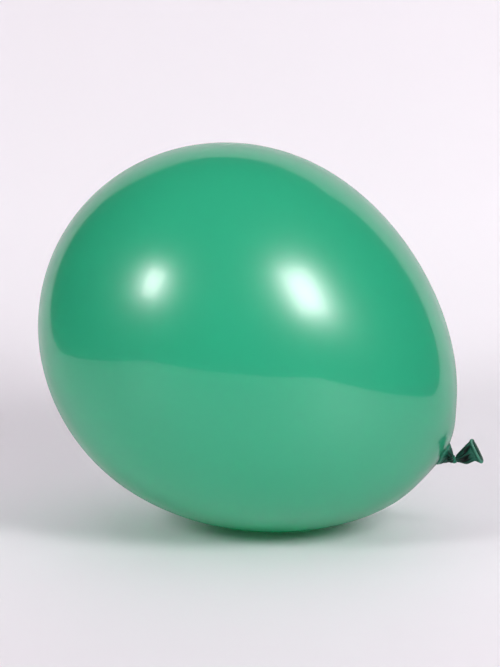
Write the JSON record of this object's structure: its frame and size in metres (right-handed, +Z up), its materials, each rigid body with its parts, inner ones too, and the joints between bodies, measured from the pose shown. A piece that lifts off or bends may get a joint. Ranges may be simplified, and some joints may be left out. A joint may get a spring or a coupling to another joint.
{
  "type": "latex balloon",
  "caption": "Inflated round latex balloon lying on its side, tied in an overhand knot, with a pleated neck, a knot that bends and a flat flapping tail with a rolled rim.",
  "frame": {"origin": "centre of the flat contact patch under the balloon, on the surface that it lies on", "axes": "+Z up; +X level, towards the knot, so that the balloon's long axis lies in the XZ plane and leans 30.5 degrees below +X; the flat tail also lies in the XZ plane"},
  "size_m": [0.3332, 0.28, 0.2877],
  "materials": {
    "balloon_film": "gloss",
    "gathered_latex": "satin",
    "thick_latex": "satin",
    "rim_latex": "satin"
  },
  "bodies": {
    "balloon": {"envelope": "balloon_film"},
    "neck": {"neck": "gathered_latex"},
    "knot": {"knot_loop": "gathered_latex", "knot_core": "gathered_latex"},
    "tail": {"tail": "thick_latex", "rolled_rim": "rim_latex"}
  },
  "joints": [
    {"name": "neck_swing", "type": "hinge", "parent": "balloon", "child": "neck", "pos_m": [0.12764, 0, 0.06038], "axis": [0.5075, 0, 0.8616], "range_deg": [-22, 22], "stiffness_Nm_per_rad": 0.002},
    {"name": "knot_nod", "type": "hinge", "parent": "neck", "child": "knot", "pos_m": [0.13341, 0, 0.05698], "axis": [0, -1, 0], "range_deg": [-60, 15], "stiffness_Nm_per_rad": 0.002},
    {"name": "tail_flap", "type": "hinge", "parent": "knot", "child": "tail", "pos_m": [0.13816, 0, 0.05627], "axis": [-0.4462, 0, 0.8949], "range_deg": [-60, 60], "stiffness_Nm_per_rad": 0.001}
  ]
}
